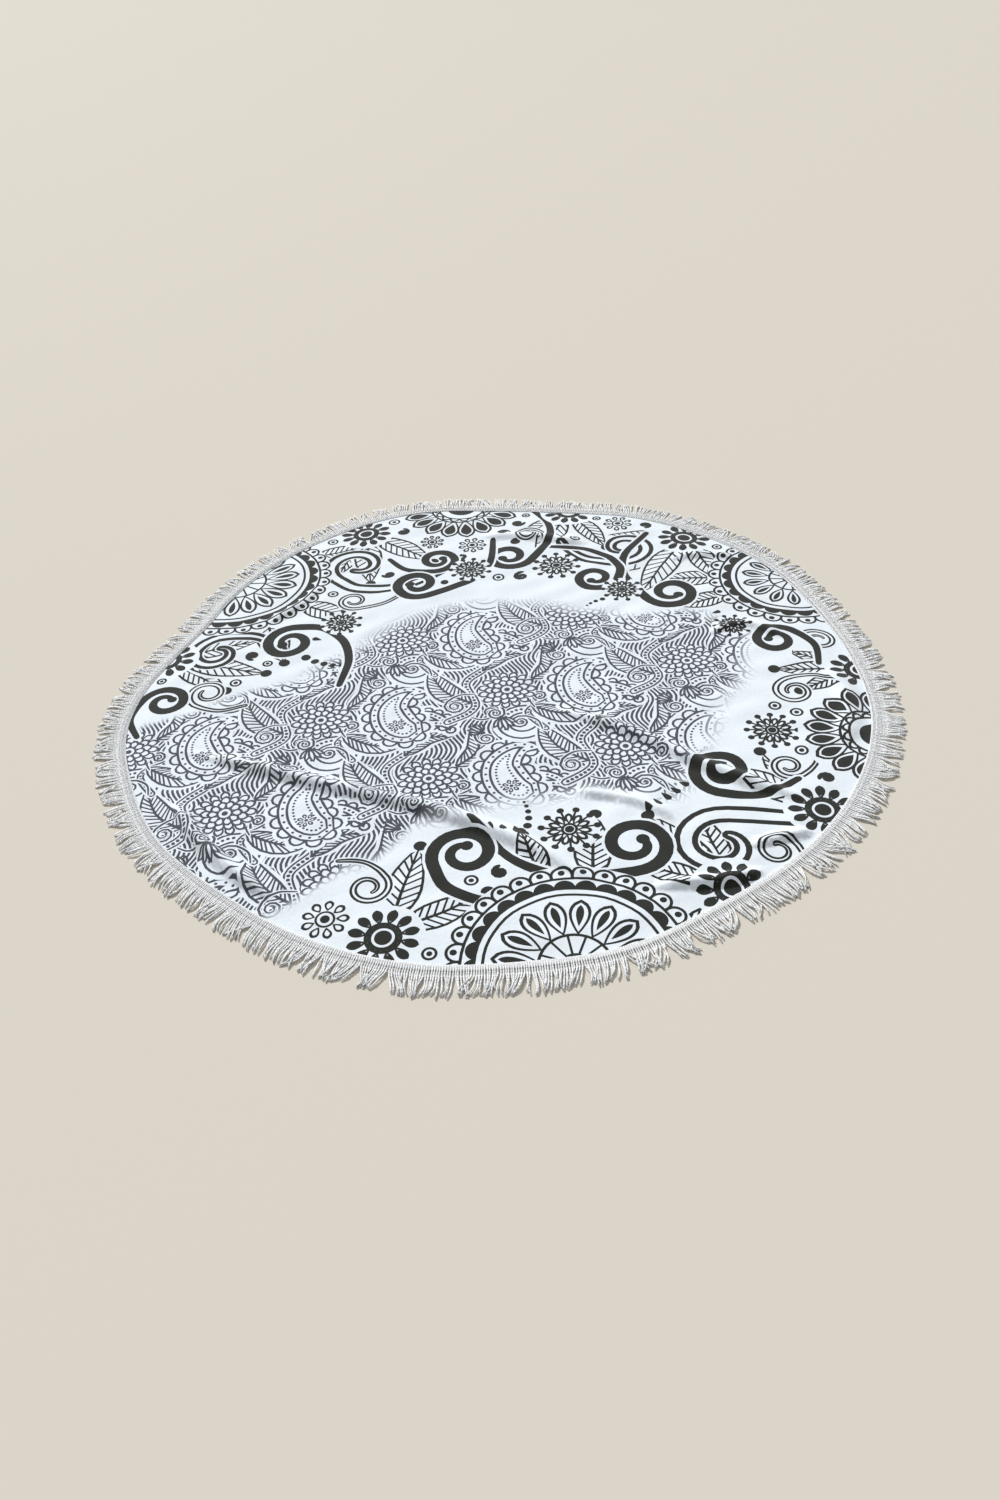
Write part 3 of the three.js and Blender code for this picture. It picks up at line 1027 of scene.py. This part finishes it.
def buildCloth(material):
    points, edges = [], []
    for tone, outline in printShapes:
        edges += loopEdges(len(points), len(outline))
        points += outline
    edges += loopEdges(len(points), clothLook["rimSteps"])
    points += rimLoop(clothLook["bareEdge"])
    spots, faces = triangulate(points, edges)
    print("print cut:", len(spots), "points,", len(faces), "faces")
    spots, edges = snapEdges(spots, toneEdges(faces, paintFaces(spots[faces].mean(1))[0]))
    spots, edges = straightenEdges(spots, edges)
    rim = rimLoop(0.0)
    edges = edges.tolist() + loopEdges(len(spots), len(rim))
    taken = np.concatenate([spots, rim])
    grid = spacedGrid(clothLook["gridPitch"], taken, False) + spacedGrid(clothLook["foldPitch"], taken, True)
    spots, faces = triangulate(spots.tolist() + rim + grid, edges, True)
    faces = turnUp(faces, spots)
    tones = dropCrumbs(spots, faces, *paintFaces(spots[faces].mean(1)))

    # the rim's points are those on an edge with only one face, in order round the middle
    both = set(map(tuple, sidesOf(faces).tolist()))
    loop = np.array([a for a, b in both if (b, a) not in both])
    loop = loop[np.argsort(np.arctan2(spots[loop, 1], spots[loop, 0]))]

    # underside from the same rim, coarser where it lies flat
    below = spots[loop].tolist()
    below += spacedGrid(clothLook["underPitch"], spots[loop], False)
    below += spacedGrid(clothLook["foldPitch"], spots[loop], True)
    underSpots, underFaces = triangulate(below, loopEdges(0, len(loop)), True)
    underFaces = turnUp(underFaces, underSpots)[:, ::-1] + len(spots)
    top = np.column_stack([spots, heightAt(spots) + clothLook["thick"]])
    under = np.column_stack([underSpots, heightAt(underSpots)])
    wall = [(loop[k], len(spots) + k, len(spots) + ahead, loop[ahead])
            for k, ahead in loopEdges(0, len(loop))]
    print("cloth:", len(faces), "top faces,", len(underFaces), "below,", len(loop), "on the rim")

    allPoints = np.concatenate([top, under]).tolist()
    allFaces = faces.tolist() + underFaces.tolist() + wall
    cloth = newPiece("clothVisual", allPoints, allFaces, material)
    mesh = cloth.data
    flat = np.concatenate([spots, underSpots])
    tone = mesh.attributes.new("tone", "FLOAT", "FACE")
    tone.data.foreach_set("value", np.concatenate([tones, np.zeros(len(underFaces) + len(wall))]))
    panel = mesh.attributes.new("panel", "FLOAT", "POINT")
    depth = smoothStep(panelDepth(*flat.T) / printLook["panelFade"])
    depth[len(spots):] = 0
    panel.data.foreach_set("value", depth)

    corners = np.empty(len(mesh.loops), int)
    mesh.loops.foreach_get("vertex_index", corners)
    topCorners, underCorners = 3 * len(faces), 3 * (len(faces) + len(underFaces))
    uv = 0.5 + flat[corners] / clothLook["topUvSpan"]
    for first, (middle, scale) in ((topCorners, clothLook["underUv"]), (underCorners, clothLook["edgeUv"])):
        uv[first:] = middle + flat[corners[first:]] * scale
    addUv(cloth, "OFBake", uv)
    normals = np.zeros((len(corners), 3))
    normals[:topCorners] = slopeNormals(spots)[corners[:topCorners]]
    normals[topCorners:underCorners, 2] = -1
    outward = flat[corners[underCorners:]]
    normals[underCorners:, :2] = outward / np.hypot(*outward.T)[:, None]
    mesh.normals_split_custom_set(normals.tolist())
    return cloth


# Header tape that the fringe hangs from, sewn over the cloth's edge

headerLook = {
    "ribs": 1120,
    "stationsPerRib": 4,
    "ribHeight": 0.0012,
    "ribbed": (-0.0014, 0.0045),    # between these offsets
    "uvRows": 16,
    # offset from the cloth's edge, height, and whether that point lies on the cloth
    "section": [
        (-0.0036, 0.0032, 1), (-0.0033, 0.0041, 1), (-0.0022, 0.0046, 1), (-0.0012, 0.0043, 1),
        (0.0004, 0.0043, 1), (0.0022, 0.0042, 0), (0.0040, 0.0039, 0), (0.0060, 0.0036, 0),
        (0.0068, 0.0026, 0), (0.0068, 0.0012, 0), (0.0058, 0.0002, 0), (0.0008, 0.0002, 0),
        (0.0006, 0.0031, 0),
    ],
}


def buildHeader(material):
    section, perRib, uvRows = headerLook["section"], headerLook["stationsPerRib"], headerLook["uvRows"]
    stations = headerLook["ribs"] * perRib
    count, perRow = len(section), stations // uvRows
    steps = np.arange(stations)
    turns = tau * steps / stations
    ribs = headerLook["ribHeight"] * (0.5 - 0.5 * np.cos(tau * steps / perRib))
    reach, directions = edgeAt(turns), np.stack([np.cos(turns), np.sin(turns)], 1)
    ribFrom, ribTo = headerLook["ribbed"]
    rings = []
    for offset, height, onCloth in section:
        flat = directions * (reach + offset)[:, None]
        z = height + onCloth * heightAt(flat)
        if ribFrom < offset < ribTo and height > clothLook["thick"] + 0.0005:
            z = z + ribs
        rings.append(np.column_stack([flat, z]))
    across = [0.0]
    for (x0, z0, _), (x1, z1, _) in zip(section, section[1:] + section[:1]):
        across.append(across[-1] + math.dist((x0, z0), (x1, z1)))
    faces, bake, yarn = [], [], []
    for k in range(stations):
        here, ahead = k * count, (k + 1) % stations * count
        row, along = divmod(k, perRow)
        u0, u1 = (0.01 + 0.98 * (along + side) / perRow for side in (0, 1))
        y0, y1 = (0.5 * (k + side) / perRib for side in (0, 1))
        for s in range(count):
            up = (s + 1) % count
            faces.append((here + s, here + up, ahead + up, ahead + s))
            v0, v1 = ((row + 0.04 + 0.92 * (s + side) / count) / uvRows for side in (0, 1))
            bake += [(u0, v0), (u0, v1), (u1, v1), (u1, v0)]
            yarn += [(across[s], y0), (across[s + 1], y0), (across[s + 1], y1), (across[s], y1)]
    points = np.stack(rings, 1).reshape(-1, 3).tolist()
    print("header:", headerLook["ribs"], "ribs")
    return yarnPiece("headerVisual", points, faces, material, bake, yarn)


def strandMesh(paths, across, radii, lobes, twist):
    # closed strands: each path is a row of points, across the direction to its side, a radius for each point
    sides = len(lobes)
    points, faces, reached = [], [], []
    for path, side, thick in zip(paths, across, radii):
        first = len(points)
        for k, ((x, y, z), (sx, sy), r) in enumerate(zip(path, side, thick)):
            for j, lobe in enumerate(lobes):
                a = tau * j / sides + twist * k
                out, up = r * lobe * math.cos(a), r * lobe * math.sin(a)
                points.append((x + sx * out, y + sy * out, z + up))
        for near in range(first, first + (len(path) - 1) * sides, sides):
            for j, ahead in loopEdges(0, sides):
                faces.append((near + j, near + ahead, near + sides + ahead, near + sides + j))
        faces.append(tuple(range(first, first + sides))[::-1])
        faces.append(tuple(range(len(points) - sides, len(points))))
        steps = [math.dist(a, b) for a, b in zip(path, path[1:])]
        reached.append([sum(steps[:k]) for k in range(len(path))])
    return points, faces, reached


def strandUv(reached, sides, columns):
    # each strand has a cell of its own for baking; the yarn's map is in metres along and turns around
    rows = -(-len(reached) // columns)
    bake, yarn = [], []
    for n, along in enumerate(reached):
        row, column = divmod(n, columns)
        u = [(column + 0.06 + 0.88 * j / sides) / columns for j in range(sides + 1)]
        v = [(row + 0.04 + 0.86 * reach / along[-1]) / rows for reach in along]
        for k in range(len(along) - 1):
            for j in range(sides):
                for a, b in ((j, k), (j + 1, k), (j + 1, k + 1), (j, k + 1)):
                    bake.append((u[a], v[b]))
                    yarn.append((along[b], a / sides))
        for end in (0, -1):
            for x, y in roundOutline(1.0, count=sides):
                bake.append(((column + 0.5 + 0.05 * x) / columns, (row + 0.95 + 0.02 * y) / rows))
                yarn.append((along[end], 0.5))
    return bake, yarn


def buildStrands(name, material, paths, across, radii, look):
    points, faces, reached = strandMesh(paths, across, radii, look["lobes"], look["twist"])
    bake, yarn = strandUv(reached, len(look["lobes"]), look["uvColumns"])
    return yarnPiece(name, points, faces, material, bake, yarn)


# Fringe: twisted cotton strands that lie on the ground in small clumps

fringeLook = {
    "names": ("fringeRightBack", "fringeLeftBack", "fringeLeftFront", "fringeRightFront"),
    "seed": 12,
    "count": 1120,
    "rootOffset": -0.0006,
    "tipOffset": 0.0605,
    "rootHeight": 0.0050,
    "radius": 0.00160,
    "thickness": (0.92, 1.08),      # shares of the radius
    "rootTaper": 0.70,
    "tipTaper": 0.72,
    "rings": 10,
    "lobes": (1.20, 0.92, 0.92, 1.20, 0.92, 0.92),
    "twist": tau / 6,
    "uvColumns": 14,
    "clumpSizes": (1, 2, 2, 3, 3, 4, 4, 5, 6),
    "clumpLean": 0.20,
    "swayLean": 0.10,
    "ownLean": 0.07,
    "pull": (0.04, 0.34),
    "clumpCurl": 0.004,
    "ownCurl": 0.002,
    "clumpLength": (0.92, 1.0),
    "ownLength": (0.88, 1.0),
    "shortOnes": 0.06,
    "shortLength": 0.86,
    "rootShift": 0.12,              # share of the distance between strands
    "rise": 0.0022,
    "pulledRise": 0.003,
    "freeFrom": 0.30,               # share of the length that runs straight out
}


def planStrands():
    look = fringeLook
    rng = random.Random(look["seed"])
    count = look["count"]
    pitch = tau / count
    strands, n = [], 0
    while n < count:
        size = min(rng.choice(look["clumpSizes"]), count - n)
        lean = rng.gauss(0, look["clumpLean"]) + look["swayLean"] * math.sin(5 * pitch * n + 0.6)
        pull = rng.uniform(*look["pull"])
        curl = rng.gauss(0, look["clumpCurl"])
        length = rng.uniform(*look["clumpLength"])
        for k in range(size):
            strand = {"offCentre": k - (size - 1) / 2, "pull": pull}
            strand["turn"] = pitch * (n + k + 0.5 + rng.uniform(-look["rootShift"], look["rootShift"]))
            strand["lean"] = lean + rng.gauss(0, look["ownLean"])
            strand["curl"] = curl + rng.gauss(0, look["ownCurl"])
            strand["length"] = length * rng.uniform(*look["ownLength"])
            if rng.random() < look["shortOnes"]:
                strand["length"] *= look["shortLength"]
            strand["rise"] = rng.uniform(0, look["rise"]) + (look["pulledRise"] * pull if k % 2 else 0.0)
            strand["radius"] = look["radius"] * rng.uniform(*look["thickness"])
            strands.append(strand)
        n += size
    return strands


def buildFringe(material):
    look, strands = fringeLook, planStrands()
    turns = np.array([strand["turn"] for strand in strands])
    reach = edgeAt(turns)
    slant = np.arctan2(edgeAt(turns + 0.01) - edgeAt(turns - 0.01), 0.02 * reach)
    pitch = tau / look["count"] * reach
    taper = [look["rootTaper"]] + [1.0] * (look["rings"] - 2) + [look["tipTaper"]]
    paths, across, radii = [], [], []
    for strand, base, away, room in zip(strands, reach.tolist(), slant.tolist(), pitch.tolist()):
        lean, radius, heading = strand["lean"], strand["radius"], strand["turn"] - away
        foot = base + look["rootOffset"]
        root = (foot * math.cos(strand["turn"]), foot * math.sin(strand["turn"]), heading)
        length = (look["tipOffset"] - look["rootOffset"]) * strand["length"]
        gather = strand["offCentre"] * room * strand["pull"]
        path = []
        for k in range(look["rings"]):
            t = k / (look["rings"] - 1)
            free = max(0.0, (t - look["freeFrom"]) / (1 - look["freeFrom"]))
            bow = math.sin(math.pi * free)
            forward = length * t * math.cos(0.8 * lean * free)
            sideways = lean * length * free ** 1.3 - gather * free ** 0.9 + strand["curl"] * bow * free
            z = radius * 1.02 + (look["rootHeight"] - radius) * (1 - t) ** 3 + strand["rise"] * bow
            path.append((*placePoints([(forward, sideways)], root)[0], z))
        paths.append(path)
        across.append([(-math.sin(heading), math.cos(heading))] * look["rings"])
        radii.append([radius * share for share in taper])
    quarter, pieces = look["count"] // 4, []
    for n, name in enumerate(look["names"]):
        part = slice(n * quarter, (n + 1) * quarter)
        pieces.append(buildStrands(name, material, paths[part], across[part], radii[part], look))
    print("fringe:", len(paths), "strands")
    return pieces


seamLook = {
    "stitches": 1080,
    "offset": -0.0021,
    "height": 0.0048,
    "length": 0.0031,
    "radius": 0.00042,
    # share of the length, sink and share of the radius at each ring
    "rings": [(-0.5, 0.0005, 0.6), (-0.22, 0.0, 1.0), (0.22, 0.0, 1.0), (0.5, 0.0005, 0.6)],
    "lobes": (1,) * 6,
    "twist": 0.0,
    "uvColumns": 36,
}


def buildSeam(material):
    # one short raised thread for each stitch along the header's inner edge
    paths, across, radii = [], [], []
    turns = tau * (np.arange(seamLook["stitches"]) + 0.5) / seamLook["stitches"]
    reach = edgeAt(turns) + seamLook["offset"]
    for turn, r in zip(turns.tolist(), reach.tolist()):
        path = []
        for share, sink, _ in seamLook["rings"]:
            a = turn + share * seamLook["length"] / r
            path.append((r * math.cos(a), r * math.sin(a), seamLook["height"] - sink))
        paths.append(path)
        across.append([(-math.cos(turn), -math.sin(turn))] * len(path))
        radii.append([seamLook["radius"] * size for _, _, size in seamLook["rings"]])
    print("seam:", len(paths), "stitches")
    return buildStrands("seamVisual", material, paths, across, radii, seamLook)


# Finishes

def srgb(*levels):
    # screen colour from 11 to 255 as the linear colour that the shader takes
    return tuple(((v / 255 + 0.055) / 1.055) ** 2.4 for v in levels) + (1.0,)


def addNode(material, kind, inputs=None, **settings):
    # an input is a value, or the output of another node
    tree = material.node_tree
    node = tree.nodes.new("ShaderNode" + kind)
    for name, value in settings.items():
        setattr(node, name, value)
    for name, value in (inputs or {}).items():
        if isinstance(value, bpy.types.NodeSocket):
            tree.links.new(value, node.inputs[name])
        else:
            node.inputs[name].default_value = value
    return node


def mathNode(material, operation, a, b=0.0):
    return addNode(material, "Math", {0: a, 1: b}, operation=operation).outputs[0]


def meshValue(material, name):
    return addNode(material, "Attribute", attribute_name=name).outputs["Fac"]


def noise(material, place, scale, detail):
    return addNode(material, "TexNoise", {"Vector": place, "Scale": scale, "Detail": detail}).outputs["Fac"]


def remap(material, value, low, high, toLow, toHigh):
    return addNode(material, "MapRange", {0: value, 1: low, 2: high, 3: toLow, 4: toHigh}).outputs[0]


def mixColour(material, share, a, b, blend="MIX"):
    # share, and the two colours, are values or outputs
    node = addNode(material, "Mix", {0: share, 6: a, 7: b}, data_type="RGBA", blend_type=blend)
    return node.outputs[2]


def newMaterial(name, roughness, sheen):
    material = bpy.data.materials.new(name)
    material.use_nodes = True
    shader = material.node_tree.nodes["Principled BSDF"]
    shader.inputs["Roughness"].default_value = roughness
    shader.inputs["Specular IOR Level"].default_value = 0.18
    shader.inputs["Sheen Weight"].default_value = sheen
    shader.inputs["Sheen Roughness"].default_value = 0.6
    return material, shader


def finishWith(material, shader, colour, height, strength, distance):
    # colour and bump that the nodes made go to the shader
    bump = addNode(material, "Bump", {"Height": height, "Strength": strength, "Distance": distance})
    material.node_tree.links.new(colour, shader.inputs["Base Color"])
    material.node_tree.links.new(bump.outputs[0], shader.inputs["Normal"])


clothFinish = {
    "white": (225, 233, 240),
    "panelGround": (223, 231, 239),
    "groundShare": 0.85,
    "greyInk": (36, 41, 52),
    "blackInk": (24, 27, 22),
    "inkWear": (58, 62, 58),
    "roughness": 0.92,
    "sheen": 0.12,
    # scale and detail of each noise
    "pile": (620, 3.0),
    "tuft": (150.0, 2.0),
    "cloud": (7.0, 2.0),
    # where the noise starts and ends, and what that gives
    "cloudShade": (0.3, 0.7, 0.955, 1.0),
    "tuftShade": (0.3, 0.7, 0.96, 1.0),
    "greyCover": (0.3, 0.75, 1.0, 0.88),
    "wear": (0.55, 0.75, 0.0, 0.55),
    "tuftRelief": 1.6,
    "bump": 0.5,
    "pileDepth": 0.0005,
}


def printedCotton():
    # short velour pile with the print on it; ink is a little worn where the pile opens
    look = clothFinish
    material, shader = newMaterial("printedCotton", look["roughness"], look["sheen"])
    place = addNode(material, "TexCoord").outputs["Object"]
    pile, tuft, cloud = (noise(material, place, *look[name]) for name in ("pile", "tuft", "cloud"))
    tone, panel = meshValue(material, "tone"), meshValue(material, "panel")
    white, panelGround, greyInk, blackInk, inkWear = (
        srgb(*look[name]) for name in ("white", "panelGround", "greyInk", "blackInk", "inkWear"))
    isBlack = mathNode(material, "GREATER_THAN", tone, 1.5)
    isGrey = mathNode(material, "SUBTRACT", mathNode(material, "GREATER_THAN", tone, 0.5), isBlack)
    groundShare = mathNode(material, "MULTIPLY", panel, look["groundShare"])
    coloured = mixColour(material, groundShare, white, panelGround)
    greyShare = mathNode(material, "MULTIPLY", remap(material, pile, *look["greyCover"]), panel)
    greyShare = mathNode(material, "MULTIPLY", greyShare, isGrey)
    coloured = mixColour(material, greyShare, coloured, greyInk)
    ink = mixColour(material, remap(material, pile, *look["wear"]), blackInk, inkWear)
    coloured = mixColour(material, isBlack, coloured, ink)
    shade = mathNode(material, "MULTIPLY", remap(material, cloud, *look["cloudShade"]),
                     remap(material, tuft, *look["tuftShade"]))
    shade = addNode(material, "CombineColor", {0: shade, 1: shade, 2: shade}).outputs[0]
    coloured = mixColour(material, 1.0, coloured, shade, "MULTIPLY")
    grain = mathNode(material, "ADD", pile, mathNode(material, "MULTIPLY", tuft, look["tuftRelief"]))
    finishWith(material, shader, coloured, grain, look["bump"], look["pileDepth"])
    return material


fringeFinish = {
    "light": (252, 254, 255),
    # painted shade: the colour of the grooves between the plies, where they shade each other
    "paintedGrooveShade": (206, 212, 216),
    "roughness": 0.9,
    "sheen": 0.6,
    "scatter": 0.8,
    "scatterDepth": 0.003,
    "twistPitch": 0.0058,
    "groove": (-1.0, -0.2, 0.0, 1.0),
    "fibre": (900.0, 3.0),
    "patch": (45.0, 2.0),
    "patchShade": (0.3, 0.7, 0.72, 1.0),
    "fibreRelief": 0.7,
    "bump": 0.45,
    "grooveDepth": 0.0005,
}


def twistedCotton():
    # two-ply yarn: slanting grooves that follow each strand, in the bump and as painted shade, a darker
    # colour in the grooves between the plies
    look = fringeFinish
    material, shader = newMaterial("twistedCotton", look["roughness"], look["sheen"])
    shader.inputs["Subsurface Weight"].default_value = look["scatter"]
    shader.inputs["Subsurface Radius"].default_value = (1.0, 1.0, 1.0)
    shader.inputs["Subsurface Scale"].default_value = look["scatterDepth"]
    yarn = addNode(material, "SeparateXYZ", {0: addNode(material, "UVMap", uv_map="yarn").outputs[0]})
    along, around = yarn.outputs[0], yarn.outputs[1]
    turned = mathNode(material, "ADD", mathNode(material, "DIVIDE", along, look["twistPitch"]), around)
    ply = mathNode(material, "SINE", mathNode(material, "MULTIPLY", turned, tau * 2))
    groove = remap(material, ply, *look["groove"])
    place = addNode(material, "TexCoord").outputs["Object"]
    fibre, patch = (noise(material, place, *look[name]) for name in ("fibre", "patch"))
    # the grooves are painted darker: painted shade between the plies, on top of their bump
    share = mathNode(material, "MULTIPLY", groove, remap(material, patch, *look["patchShade"]))
    coloured = mixColour(material, share, srgb(*look["paintedGrooveShade"]), srgb(*look["light"]))
    height = mathNode(material, "ADD", groove, mathNode(material, "MULTIPLY", fibre, look["fibreRelief"]))
    finishWith(material, shader, coloured, height, look["bump"], look["grooveDepth"])
    return material


layPanel()
layBorder()
print("print drawn:", len(printShapes), "shapes")
yarnCotton = twistedCotton()
cloth = buildCloth(printedCotton())
header = buildHeader(yarnCotton)
fringe = buildFringe(yarnCotton)
seam = buildSeam(yarnCotton)
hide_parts("towel_cloth")
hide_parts("fringe_trim")


# Ground, light and camera

studio = {
    "ground": (204, 198, 187),
    "groundSide": 80.0,
    "skyStrength": 0.48,
    "lampStrength": 3.95,
    "lampWidth": 8.0,      # degrees across, so shadows are soft
    "lampFrom": (-0.45, 1.0, 0.72),
    "cameraAt": (-0.002, -1.8415, 1.3883),
    "cameraAim": (-0.002, -0.1894, 0.0),
    "cameraRoll": 4.27,
    "lens": 28.8,
}


def groundPlane():
    bpy.ops.object.select_all(action="DESELECT")
    bpy.ops.mesh.primitive_plane_add(size=studio["groundSide"])
    ground = bpy.context.object
    ground.name = "ground"
    material, shader = newMaterial("groundPaint", 0.95, 0.0)
    shader.inputs["Base Color"].default_value = srgb(*studio["ground"])
    ground.data.materials.append(material)


def softLight():
    world = bpy.data.worlds.new("studioSky")
    world.use_nodes = True
    world.node_tree.nodes["Background"].inputs["Color"].default_value = (1.0, 1.0, 1.0, 1.0)
    world.node_tree.nodes["Background"].inputs["Strength"].default_value = studio["skyStrength"]
    bpy.context.scene.world = world
    bpy.ops.object.light_add(type="SUN")
    lamp = bpy.context.object
    lamp.name = "softLamp"
    lamp.data.energy = studio["lampStrength"]
    lamp.data.angle = math.radians(studio["lampWidth"])
    lamp.rotation_euler = Vector(studio["lampFrom"]).to_track_quat("Z", "Y").to_euler()


def placeCamera():
    bpy.ops.object.camera_add(location=studio["cameraAt"])
    camera = bpy.context.object
    camera.name = "photoCamera"
    camera.data.lens = studio["lens"]
    camera.data.clip_end = 200
    gaze = Vector(studio["cameraAim"]) - Vector(studio["cameraAt"])
    roll = Matrix.Rotation(math.radians(studio["cameraRoll"]), 3, gaze.normalized())
    camera.rotation_euler = (roll @ gaze.to_track_quat("-Z", "Y").to_matrix()).to_euler()
    bpy.context.scene.camera = camera


groundPlane()
softLight()
placeCamera()
bpy.context.scene.view_settings.view_transform = "Standard"
print("ground, light and camera set")
